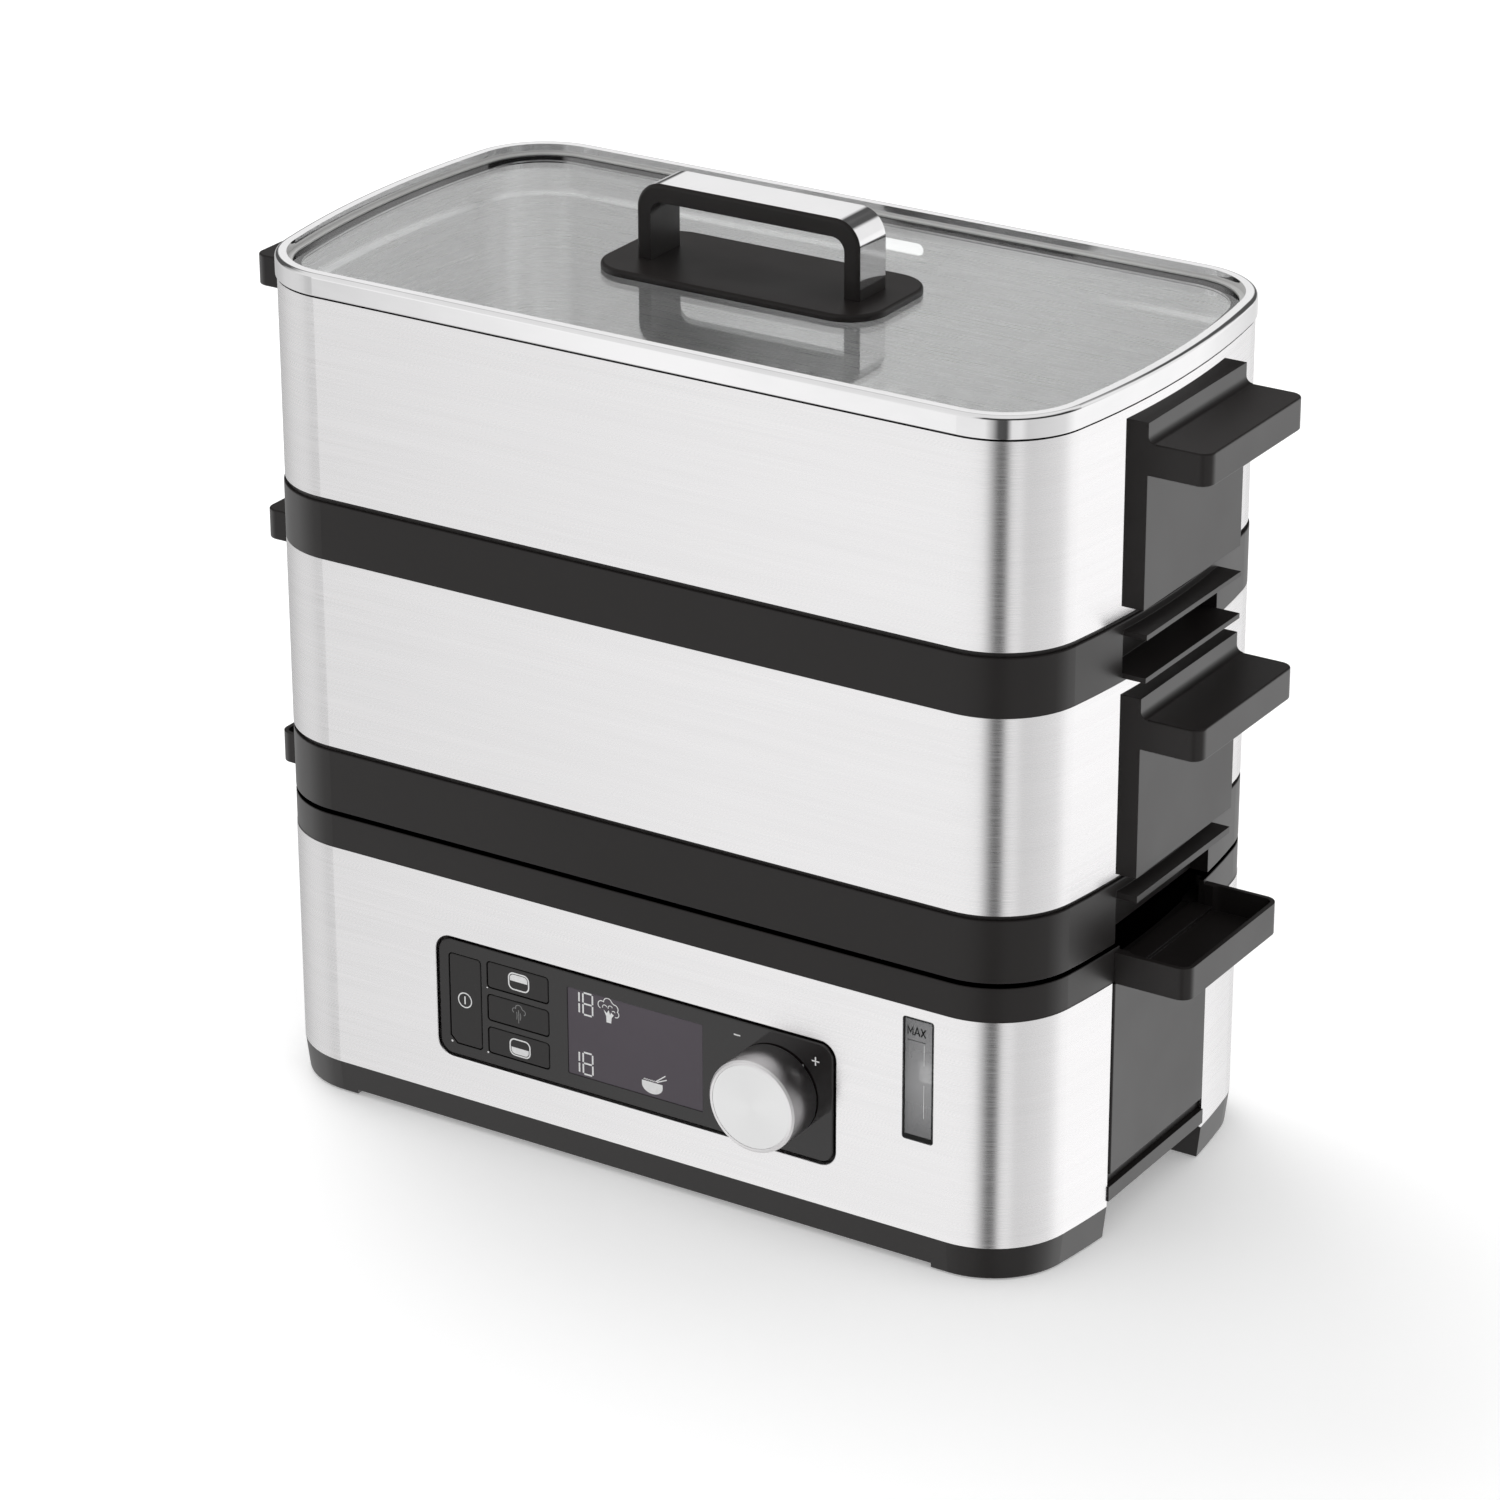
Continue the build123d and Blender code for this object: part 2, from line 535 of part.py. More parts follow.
# ---- baskets --------------------------------------------------------------------------------
def basket_shell(grow, spigot, z0, z1, grip_top):
    """Steel wall, seat for the floor grid, locating spigot, inner shoulder and back vent slot."""
    shell = ring(grow, grow - SHEET, z0, z1)
    shell += ring(grow - SHEET + 0.1, grow - 9, z0, z0 + SHEET)
    shell += ring(spigot, spigot - SHEET, z0 - 1.9, z0 + 0.1)
    shell += ring(grow - SHEET + 0.1, grow - 3.4, z1 - 14.0, z1 - 14.0 + SHEET)
    vent = SlotOverall(29, 4.4)
    shell -= Pos(0, 95, z1 - 8.8) * Rot(90, 0, 0) * extrude(vent, amount=30)
    for y, z in handle_screw_points(grip_top):
        shell -= rod_x(y, z, -200, 200, 2.1)
    return shell


def handle_screw_points(grip_top):
    return [(y, grip_top - 42.7) for y in (-20, 20)]


def basket_handle(side, grow, top):
    """Flat plate on the end of the basket with a shelf-like grip."""
    half, grip_z0, grip_z1 = SIDE_HALF - 0.4, top - 18.0, top - 6.8
    plate = end_block(side, 150, GRIP_PLATE_X, half, top - 64.0, top)
    grip = end_block(side, 150, GRIP_X, half, grip_z0, grip_z1)
    grip = fillet(grip.edges().filter_by(Axis.Z), 4.6)
    faces = grip.faces().sort_by(Axis.Z)
    grip = fillet(faces[0].edges() + faces[-1].edges(), 0.6)
    cove = end_block(side, GRIP_PLATE_X - 1, GRIP_PLATE_X + 2.4, half, grip_z1 - 1, grip_z1 + 2.4)
    cove -= Pos(side * (GRIP_PLATE_X + 2.4), 0, grip_z1 + 2.4) * Rot(90, 0, 0) * Cylinder(2.4, 200)
    handle = plate + grip + cove - prism(grow + 0.03, 0, 400)
    for y, z in handle_screw_points(top):
        handle -= rod_x(y, z, *sorted((side * 150, side * (GRIP_PLATE_X - 1.4))), 1.75)
    return handle


def basket_screws(grow, grip_top):
    """Four screws from inside the basket, two into each handle."""
    wall = HALF_LENGTH + grow - SHEET
    screws = []
    for side in (1, -1):
        for y, z in handle_screw_points(grip_top):
            head = rod_x(y, z, *sorted((side * (wall - 3.0), side * (wall - 0.85))), 3.6)
            shank = rod_x(y, z, *sorted((side * (wall - 1.0), side * (wall + 4.5))), 1.7)
            screws.append(head + shank)
    return screws


def far_from_corner(point):
    return abs(point.X) < 132 or abs(point.Y) < 50


def floor_grid(grow, z0):
    """Loose perforated floor with a stiffening edge, lifted out for tall food."""
    plate = plan(grow - 4.4)
    inner = [loc for loc in GridLocations(13, 13, 23, 11) if far_from_corner(loc.position)]
    plate -= [loc * Circle(3) for loc in inner]
    return Pos(0, 0, z0 + SHEET + 0.1) * extrude(plate, amount=1.2)


# ---- lid ------------------------------------------------------------------------------------
def lid_rim():
    """Polished channel that clips round the glass and drops inside the basket's wall."""
    edge = UPPER_STEP + 0.6
    rim = ring(edge, edge - 4.1, RIM_Z0, RIM_Z1)
    top = rim.faces().sort_by(Axis.Z)[-1]
    rim = fillet(top.outer_wire().edges(), 1.5)
    bottom = rim.faces().sort_by(Axis.Z)[0]
    rim = fillet(bottom.outer_wire().edges(), 0.7)
    rim -= ring(edge - 1.0, edge - 5.0, RIM_Z0 + 1.0, RIM_Z1 - 1.0)
    rim += ring(edge - 3.2, edge - 4.1, GLASS_Z1 + 0.5, RIM_Z1 - 0.5)
    rim += ring(edge - 1.0, edge - 9.0, RIM_Z0, RIM_Z0 + 1.0)
    return rim + ring(UPPER_STEP - SHEET - 0.5, UPPER_STEP - SHEET - 1.5, RIM_Z0 - 4.5, RIM_Z0 + 0.5)


def lid_gasket():
    return ring(UPPER_STEP - 2.6, UPPER_STEP - 5.4, GLASS_Z0, GLASS_Z1 + 0.5)


def lid_glass():
    glass = prism(UPPER_STEP - 5.5, GLASS_Z0, GLASS_Z1)
    for x in (-LID_SCREW_X, LID_SCREW_X):
        glass -= rod_z(x, 0, 290, 310, 3)
    return glass


def handle_pad():
    pad = Pos(0, 0, GLASS_Z1) * extrude(RectangleRounded(PAD_W, PAD_D, PAD_R), amount=PAD_T)
    pad = fillet(pad.faces().sort_by(Axis.Z)[-1].edges(), 1.2)
    for x in (-LID_SCREW_X, LID_SCREW_X):
        pad -= rod_z(x, 0, 290, 310, 2.1)
    return pad


def arch_profile(half, top, r, bottom):
    """An upright arch outline in XZ, with its two upper corners rounded."""
    corners = [(-half, bottom), (half, bottom), (half, top), (-half, top)]
    outline = Polyline(*corners, close=True)
    face = make_face(outline.edges())
    upper = face.vertices().sort_by(Axis.Y)[-2:]
    return fillet(upper, r)


def arch_slab(profile, depth):
    return Pos(0, depth / 2, 0) * Rot(90, 0, 0) * extrude(profile, amount=depth)


def handle_layers():
    foot = GLASS_Z1 + PAD_T
    outer = arch_profile(ARCH_HALF, HANDLE_TOP, 9.5, foot)
    under_strip = arch_profile(ARCH_HALF - STRIP_T, HANDLE_TOP - STRIP_T, 9.5 - STRIP_T, foot - 5)
    inner = arch_profile(ARCH_HALF - ARCH_T, HANDLE_TOP - ARCH_BAR, 4.8, foot - 5)
    return outer, under_strip, inner


def handle_core():
    outer, under_strip, inner = handle_layers()
    core = arch_slab(outer, ARCH_DEPTH)
    sides = core.faces().sort_by(Axis.Y)
    rims = [e for face in (sides[0], sides[-1]) for e in face.edges() if e.center().Z > STRIP_Z0 - 1.6]
    core = fillet(rims, 1.3)
    core -= arch_slab(inner, ARCH_DEPTH + 2)
    groove = arch_slab(outer, STRIP_DEPTH + 0.1) - arch_slab(under_strip, STRIP_DEPTH + 1)
    core -= groove & block(-60, 60, -20, 20, STRIP_Z0 - 0.1, 400)
    for x in (-LID_SCREW_X, LID_SCREW_X):
        core -= rod_z(x, 0, 300, 318, 1.45)
    return core


def handle_strip():
    outer, under_strip, _ = handle_layers()
    strip = arch_slab(outer, STRIP_DEPTH) - arch_slab(under_strip, STRIP_DEPTH + 1)
    return strip & block(-60, 60, -20, 20, STRIP_Z0, 400)


def lid_screws():
    """Flanged screws from under the glass, up through the pad into the arch's two feet."""
    flange, head = GLASS_Z0 - 1.6, GLASS_Z0 - 3.8
    return [
        rod_z(x, 0, head, flange, 4) + rod_z(x, 0, flange, GLASS_Z0, 6.5) + rod_z(x, 0, GLASS_Z0, 317, 1.4)
        for x in (-LID_SCREW_X, LID_SCREW_X)
    ]


# ---- the assembly ---------------------------------------------------------------------------
def build_base():
    nodes["front_shell"] = steel_half(front=True)
    nodes["back_shell"] = steel_half(front=False)
    nodes["base_frame"] = base_frame()
    nodes["bottom_tray"] = bottom_tray()
    nodes["foot_pads"] = foot_pads()
    nodes["base_screws"] = base_screws()
    nodes["water_tank"] = water_tank()
    nodes["tank_gasket"] = tank_gasket()
    nodes["base_collar"] = base_collar()
    for name, make in (("side_cover", side_cover), ("filler_tray", filler_tray)):
        for end, shape in both_ends(make).items():
            nodes[f"{name}_{end}"] = shape
    nodes["heater_plate"] = heater_plate()
    nodes["heating_element"] = heating_element()
    nodes["heater_seal"] = heater_seal()
    nodes["heater_screws"] = heater_screws()
    nodes["thermostat"] = thermostat()
    nodes["thermal_fuse"] = thermal_fuse()
    nodes["steam_diffuser"] = steam_diffuser()
    nodes["water_window"] = water_window()
    nodes["window_seal"] = window_seal()
    nodes["level_float"] = level_float()


def build_controls():
    nodes["control_panel"] = control_panel()
    nodes["lcd_display"] = lcd_display()
    nodes["lcd_module"] = lcd_module()
    nodes["control_board"] = control_board()
    nodes["board_screws"] = board_screws()
    nodes["tact_switches"] = tact_switches()
    nodes["rotary_encoder"] = rotary_encoder()
    for name, place in key_places().items():
        nodes[name] = button(*place)
    nodes["knob_shaft"] = knob_shaft()
    nodes["knob_cap"] = knob_cap()
    nodes["knob_face"] = knob_face()
    nodes["power_board"] = power_board()
    nodes["relays"] = relays()
    nodes["terminal_block"] = terminal_block()
    nodes["mains_gland"] = mains_gland()


def build_tiers():
    nodes["lower_drip_tray"] = lower_drip_tray()
    nodes["upper_drip_tray"] = upper_drip_tray()
    tiers = (
        ("lower", 0.0, TIER1_Z0, TIER1_Z1, GRIP1_TOP),
        ("upper", UPPER_STEP, TIER2_Z0, TIER2_Z1, GRIP2_TOP),
    )
    for tier, grow, z0, z1, grip_top in tiers:
        nodes[f"{tier}_basket"] = basket_shell(grow, -WALL - GAP, z0, z1, grip_top)
        nodes[f"{tier}_floor_grid"] = floor_grid(grow, z0)
        nodes[f"{tier}_basket_screws"] = basket_screws(grow, grip_top)
        for end, shape in both_ends(lambda side: basket_handle(side, grow, grip_top)).items():
            nodes[f"{tier}_handle_{end}"] = shape


def build_lid():
    nodes["lid_rim"] = lid_rim()
    nodes["lid_gasket"] = lid_gasket()
    nodes["lid_glass"] = lid_glass()
    nodes["lid_handle_pad"] = handle_pad()
    nodes["lid_handle_core"] = handle_core()
    nodes["lid_handle_strip"] = handle_strip()
    nodes["lid_screws"] = lid_screws()


def export_all():
    os.makedirs("parts", exist_ok=True)
    for name, shape in nodes.items():
        solids = shape if isinstance(shape, list) else [shape]
        whole = Compound(children=[Pos(0, BODY_Y, 0) * piece for piece in solids])
        whole.label = name
        export_step(whole, f"parts/{name}.step")
        print(name, round(whole.volume, 1))


build_base()
build_controls()
build_tiers()
build_lid()
export_all()
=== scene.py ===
"""Looks, printed marks, floor, light and camera for the two-tier electric food steamer.
Metres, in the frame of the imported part; the printed marks are laid out in millimetres."""
import bmesh
import bpy
import json
from math import cos, pi, radians, sin
from mathutils import Matrix, Vector

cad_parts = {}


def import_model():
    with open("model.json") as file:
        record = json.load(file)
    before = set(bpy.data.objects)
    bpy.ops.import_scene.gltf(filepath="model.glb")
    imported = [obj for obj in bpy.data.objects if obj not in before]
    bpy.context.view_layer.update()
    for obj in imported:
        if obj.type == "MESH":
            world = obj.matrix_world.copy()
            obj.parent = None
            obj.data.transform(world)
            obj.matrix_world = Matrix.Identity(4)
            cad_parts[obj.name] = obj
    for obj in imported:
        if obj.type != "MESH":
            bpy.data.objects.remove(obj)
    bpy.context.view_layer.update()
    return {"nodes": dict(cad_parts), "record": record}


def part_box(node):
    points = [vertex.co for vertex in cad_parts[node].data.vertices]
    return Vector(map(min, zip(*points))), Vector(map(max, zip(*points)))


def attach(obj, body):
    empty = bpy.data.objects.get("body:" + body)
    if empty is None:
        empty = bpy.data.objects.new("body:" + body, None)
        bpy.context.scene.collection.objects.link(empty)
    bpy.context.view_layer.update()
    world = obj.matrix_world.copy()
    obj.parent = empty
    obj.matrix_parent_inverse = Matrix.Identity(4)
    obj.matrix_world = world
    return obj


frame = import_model()
MM = 0.001


# ---- node helpers -----------------------------------------------------------------------------
class Nodes:
    """A short way to write one material's or the world's node tree."""

    def __init__(self, tree):
        self.tree = tree

    def add(self, kind, values=None, **settings):
        """A node with its settings, and a constant or a link for each named or numbered socket."""
        made = self.tree.nodes.new("ShaderNode" + kind)
        for name, value in settings.items():
            setattr(made, name, value)
        for socket, value in (values or {}).items():
            self.put(value, made.inputs[socket])
        return made

    def put(self, value, socket):
        """A socket gets a constant, or a link from another node's output."""
        if isinstance(value, bpy.types.NodeSocket):
            self.tree.links.new(value, socket)
        elif isinstance(value, bpy.types.Node):
            self.tree.links.new(value.outputs[0], socket)
        else:
            socket.default_value = value

    def math(self, operation, a, b=0.0):
        return self.add("Math", {0: a, 1: b}, operation=operation)

    def ramp(self, value, stops):
        """stops is a list of (position, colour or grey level)."""
        made = self.add("ValToRGB", {"Fac": value})
        band = made.color_ramp
        while len(band.elements) < len(stops):
            band.elements.new(0.5)
        for element, (position, level) in zip(band.elements, stops):
            element.position = position
            element.color = level if isinstance(level, tuple) else (level, level, level, 1)
        return made

    def place(self):
        """A point's place at rest, which stays with its piece when the piece moves."""
        return self.add("TexCoord").outputs["Object"]

    def height(self):
        """A point's height at rest."""
        return self.add("SeparateXYZ", {0: self.place()}).outputs["Z"]

    def noise(self, scale, stretch=(1, 1, 1), detail=3.0, roughness=0.55):
        """Noise with scale in features per metre, stretched along an axis by a small factor there."""
        spot = self.add("Mapping", {"Vector": self.place(), "Scale": stretch})
        settings = {"Vector": spot, "Scale": scale, "Detail": detail, "Roughness": roughness}
        return self.add("TexNoise", settings)

    def bump(self, height, distance, strength, normal=None):
        """Relief of at most distance, in metres."""
        made = self.add("Bump", {"Height": height, "Distance": distance, "Strength": strength})
        if normal is not None:
            self.put(normal, made.inputs["Normal"])
        return made


def material(name, color, roughness, metallic=0.0, **sockets):
    """A material with one Principled shader; returns it with its nodes and the shader. Further sockets
    are named in lower case with underscores."""
    made = bpy.data.materials.new(name)
    made.use_nodes = True
    nodes = Nodes(made.node_tree)
    shader = made.node_tree.nodes["Principled BSDF"]
    shader.inputs["Base Color"].default_value = (*color, 1)
    shader.inputs["Roughness"].default_value = roughness
    shader.inputs["Metallic"].default_value = metallic
    for word, value in sockets.items():
        shader.inputs[word.replace("_", " ").title().replace("Ior", "IOR")].default_value = value
    return made, nodes, shader


NOISE_LOW, NOISE_HIGH = 0.3, 0.7     # the part of a noise's range that is used


def tint(color, factor):
    """The colour times a factor, opaque."""
    return tuple(min(1.0, c * factor) for c in color) + (1,)


def mottle(nodes, shader, color, noise, low=0.92, high=1.08):
    """The colour varies a little with the noise, between low and high times itself."""
    stops = [(NOISE_LOW, tint(color, low)), (NOISE_HIGH, tint(color, high))]
    nodes.put(nodes.ramp(noise, stops), shader.inputs["Base Color"])


def spread(nodes, shader, noise, low, high):
    """Roughness varies with the noise between low and high."""
    reach = nodes.add("MapRange", {"Value": noise, 1: NOISE_LOW, 2: NOISE_HIGH, 3: low, 4: high})
    nodes.put(reach, shader.inputs["Roughness"])


def outside_painted_shadow(nodes, shadow_line):
    """1 away from a level band of painted shadow and 0 in it; the band is a dark line painted in a groove,
    given as its middle height and half its width.
    """
    middle, half = shadow_line
    off = nodes.math("ABSOLUTE", nodes.math("SUBTRACT", nodes.height(), middle))
    return nodes.math("GREATER_THAN", off, half)


def paint_shadow_line(nodes, shader, unshadowed):
    """Painted shadow: the colour is painted black where the mask is 0, a dark line that stands in for the
    shade in a groove.
    """
    plain = shader.inputs["Base Color"].links[0].from_socket
    nodes.put(nodes.add("MixRGB", {0: unshadowed, 1: (0, 0, 0, 1), 2: plain}), shader.inputs["Base Color"])


# ---- materials --------------------------------------------------------------------------------
METAL = 1.0
STREAK, LONG_STREAK = (0.008, 0.008, 1.0), (0.02, 0.02, 1.0)     # how far brushing draws its noise out
BRUSHED_DEPTH, SPUN_DEPTH = 0.000008, 0.00001                    # relief of each finish
MOULDED_DEPTH, POLISHED_DEPTH = 0.00003, 0.00008
RINGS_PER_METRE = 6000               # turning marks on the knob
EDGE_RADIUS = 0.0004                 # of moulded edges
SHEEN_TURNED = (0.25, 0.52)          # how far a face turns away while its sheen grows
SHEEN_UPWARD = (0.2, 0.95)           # how far a face looks up while its sheen fades
SHEEN_LEFT = 0.06                    # share of the sheen on a face that looks straight up
INK_ROUGHNESS = 0.45
PANE_LOW, PANE_HIGH = 0.047, 0.0925  # heights between which the level window's haze varies
PANE_SHADES = [(0.0, (0.45, 0.45, 0.46, 1)), (0.45, (0.72, 0.72, 0.73, 1)), (1.0, (0.50, 0.50, 0.51, 1))]


def brushed(name, color, low, high):
    """Sheet brushed level: long fine streaks in colour and gloss over very slight cloudiness."""
    made, nodes, shader = material(name, color, low, METAL, anisotropic=0.6, anisotropic_rotation=0.25)
    streaks = nodes.noise(1700, STREAK, detail=3, roughness=0.7)
    broad = nodes.noise(420, LONG_STREAK, detail=2)
    patches = nodes.noise(9, detail=2)
    lines = nodes.math("ADD", nodes.math("MULTIPLY", streaks, 0.6), nodes.math("MULTIPLY", broad, 0.25))
    mixed = nodes.math("ADD", lines, nodes.math("MULTIPLY", patches, 0.15))
    mottle(nodes, shader, color, mixed, 0.94, 1.05)
    spread(nodes, shader, streaks, low, high)
    nodes.put(nodes.bump(streaks, BRUSHED_DEPTH, 0.25), shader.inputs["Normal"])
    nodes.put(nodes.add("Tangent", direction_type="RADIAL", axis="Z"), shader.inputs["Tangent"])
    return made


def sheen_level(nodes, face_on, grazing, unshadowed):
    """Specular level that grows from face on to a grazing view, fades on faces that look up and is 0 in
    the painted shadow line of a groove."""
    facing = nodes.add("LayerWeight", {"Blend": 0.5}).outputs["Facing"]
    near, far = SHEEN_TURNED
    level = nodes.add("MapRange", {"Value": facing, 1: near, 2: far, 3: face_on, 4: grazing})
    upward = nodes.add("SeparateXYZ", {0: nodes.add("NewGeometry").outputs["Normal"]}).outputs["Z"]
    near, far = SHEEN_UPWARD
    faded = nodes.add("MapRange", {"Value": upward, 1: near, 2: far, 3: 1.0, 4: SHEEN_LEFT})
    # the last factor takes the gloss out of the painted shadow line
    return nodes.math("MULTIPLY", nodes.math("MULTIPLY", level, faded), unshadowed)


def moulded(name, color, low, high, specular=0.4, grain=0.2, scale=2200, sheen=None, shadow_line=None):
    """Moulded plastic: fine spark-eroded texture, softly uneven gloss, edges a little rounded.
    With a sheen it is glossier at a grazing view, and painted black in the groove: a painted shadow line."""
    made, nodes, shader = material(name, color, low, specular_ior_level=specular)
    fine = nodes.noise(scale, detail=2)
    broad = nodes.noise(22, detail=3)
    mottle(nodes, shader, color, broad)
    if sheen:
        # painted shadow: black and without gloss in the groove where one piece sits on the next
        unshadowed = outside_painted_shadow(nodes, shadow_line)
        nodes.put(sheen_level(nodes, specular, sheen, unshadowed), shader.inputs["Specular IOR Level"])
        paint_shadow_line(nodes, shader, unshadowed)
    spread(nodes, shader, broad, low, high)
    rounded = nodes.add("Bevel", {"Radius": EDGE_RADIUS}, samples=4)
    nodes.put(nodes.bump(fine, MOULDED_DEPTH, grain, rounded), shader.inputs["Normal"])
    return made


def polished(name, color, low, high, shadow_line=None):
    """Polished steel with faint wiping marks and a slightly uneven surface; painted black in the groove where
    one piece sits on the next, a painted shadow line."""
    made, nodes, shader = material(name, color, low, METAL)
    wiped = nodes.noise(60, (1, 1, 3), detail=5)
    mottle(nodes, shader, color, wiped, 0.98, 1.02)
    if shadow_line:
        # painted shadow: a black line in the groove where one piece sits on the next
        paint_shadow_line(nodes, shader, outside_painted_shadow(nodes, shadow_line))
    spread(nodes, shader, wiped, low, high)
    nodes.put(nodes.bump(nodes.noise(35, detail=1), POLISHED_DEPTH, 0.15), shader.inputs["Normal"])
    return made


def spun(name, color, low, high, centre, smear=0.5):
    """Metal turned on a lathe: fine rings round its centre, which smear what it reflects across them."""
    made, nodes, shader = material(name, color, low, METAL, anisotropic=smear)
    away = nodes.add("VectorMath", {0: nodes.place(), 1: centre}, operation="SUBTRACT")
    flat = nodes.add("VectorMath", {0: away, 1: (1, 0, 1)}, operation="MULTIPLY")
    radius = nodes.add("VectorMath", {0: flat}, operation="LENGTH").outputs["Value"]
    turns = nodes.math("MULTIPLY", radius, RINGS_PER_METRE)
    rings = nodes.add("TexNoise", {"W": turns, "Scale": 1.0}, noise_dimensions="1D")
    mottle(nodes, shader, color, rings, 0.97, 1.03)
    spread(nodes, shader, rings, low, high)
    nodes.put(nodes.bump(rings, SPUN_DEPTH, 0.2), shader.inputs["Normal"])
    nodes.put(nodes.add("Tangent", direction_type="RADIAL", axis="Y"), shader.inputs["Tangent"])
    return made


def clear_glass(name, color, low, high):
    """Clear glass with faint wiping marks in its gloss; light falls through it to what is inside."""
    made, nodes, shader = material(name, color, low, transmission_weight=1.0, ior=1.5)
    wiped = nodes.noise(40, (1, 2, 1), detail=4)
    mottle(nodes, shader, color, wiped, 0.98, 1.02)
    spread(nodes, shader, wiped, low, high)
    let_light_through(made, nodes, shader, color)
    return made


def let_light_through(made, nodes, shader, color):
    """The light that reaches what lies behind isn't bent or caught by the pane."""
    path = nodes.add("LightPath")
    indirect = nodes.math("MAXIMUM", path.outputs["Is Shadow Ray"], path.outputs["Is Diffuse Ray"])
    through = nodes.add("BsdfTransparent", {"Color": (*color, 1)})
    mixed = nodes.add("MixShader", {0: indirect, 1: shader, 2: through})
    nodes.put(mixed, made.node_tree.nodes["Material Output"].inputs["Surface"])


def smoked(name, low, high):
    """Hazy pane, paler half way up, with faint wiping marks in its gloss; light falls through it."""
    made, nodes, shader = material(name, (0.5, 0.5, 0.5), low, alpha=0.36)
    wiped = nodes.noise(40, (1, 2, 1), detail=4)
    spread(nodes, shader, wiped, low, high)
    up = nodes.add("MapRange", {"Value": nodes.height(), 1: PANE_LOW, 2: PANE_HIGH})
    nodes.put(nodes.ramp(up, PANE_SHADES), shader.inputs["Base Color"])
    let_light_through(made, nodes, shader, (0.9, 0.9, 0.9))
    return made


def printed(name, level, unevenness, **sockets):
    """Printing ink of a grey level, a little uneven."""
    color = (level, level, level)
    made, nodes, shader = material(name, color, INK_ROUGHNESS, **sockets)
    mottle(nodes, shader, color, nodes.noise(700, detail=2), 1 - unevenness, 1 + unevenness)
    return made


def make_materials():
    """The finished materials, by the names of the record's slots."""
    knob_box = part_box("knob_face")
    centre = tuple((a + b) / 2 for a, b in zip(*knob_box))
    # bands of painted shadow: a black line painted low on the lid's rim where it sits on the upper basket,
    # and round the groove where the lower tray sits on the collar
    rim_painted_shadow = (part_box("upper_basket")[1].z + 0.00035, 0.00055)
    collar_painted_shadow = (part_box("base_collar")[1].z + 0.0008, 0.0009)
    rubbery = {"specular": 0.3, "grain": 0.1, "scale": 900}
    return {
        "brushed_steel": brushed("brushed_steel", (0.85, 0.84, 0.845), 0.22, 0.34),
        "black_plastic": moulded("black_plastic", (0.0175, 0.0155, 0.015), 0.34, 0.42, specular=0.25,
                                 sheen=0.84, shadow_line=collar_painted_shadow),
        "gloss_panel": moulded("gloss_panel", (0.0075, 0.006, 0.006), 0.06, 0.10, specular=0.5, grain=0.02),
        "lcd_glass": moulded("lcd_glass", (0.062, 0.049, 0.064), 0.10, 0.14, grain=0.02),
        "button_satin": moulded("button_satin", (0.013, 0.0115, 0.0112), 0.26, 0.32, grain=0.06),
        "knob_chrome": spun("knob_chrome", (0.90, 0.885, 0.89), 0.36, 0.42, centre, smear=0.95),
        "knob_satin": spun("knob_satin", (0.84, 0.84, 0.84), 0.30, 0.38, centre),
        "lid_polished": polished("lid_polished", (0.80, 0.795, 0.80), 0.05, 0.09, rim_painted_shadow),
        "lid_glass": clear_glass("lid_glass", (0.96, 0.975, 0.97), 0.0, 0.02),
        "window_smoke": smoked("window_smoke", 0.12, 0.2),
        "float_white": moulded("float_white", (0.90, 0.90, 0.89), 0.3, 0.4, specular=0.5, grain=0.02),
        "tank_plastic": moulded("tank_plastic", (0.020, 0.0195, 0.019), 0.42, 0.5, specular=0.35, grain=0.15),
        "pale_silicone": moulded("pale_silicone", (0.55, 0.55, 0.54), 0.5, 0.6, **rubbery),
        "silicone": moulded("silicone", (0.035, 0.035, 0.035), 0.55, 0.65, **rubbery),
        "foot_rubber": moulded("foot_rubber", (0.022, 0.022, 0.022), 0.6, 0.75, specular=0.3, grain=0.3,
                               scale=1200),
        "heater_metal": polished("heater_metal", (0.55, 0.54, 0.52), 0.35, 0.45),
        "screw_steel": polished("screw_steel", (0.60, 0.60, 0.60), 0.2, 0.3),
        "circuit_board": moulded("circuit_board", (0.02, 0.12, 0.05), 0.4, 0.5, specular=0.5, grain=0.1,
                                 scale=600),
        "component_body": moulded("component_body", (0.04, 0.04, 0.045), 0.4, 0.5, specular=0.5, grain=0.1),
    }


def dress(materials):
    """Each node gets its slot's material. The basket grips are kept out of gloss rays, so that the steel
    beside them doesn't mirror them."""
    for part in frame["record"]["subparts"]:
        shown = frame["nodes"][part["node"]]
        basket_grip = "_handle_" in part["node"] and not part["node"].startswith("lid")
        shown.visible_glossy = not basket_grip
        finish = materials[part["material_slot"]]
        for slot in shown.material_slots:
            slot.material = finish
        if not shown.material_slots:
            shown.data.materials.append(finish)


# ---- printed marks ----------------------------------------------------------------------------
PRINT_THICK = 0.06       # millimetres, as all marks are
MITRE_LIMIT = 0.4        # keeps a line's sharp corners from running out to long points


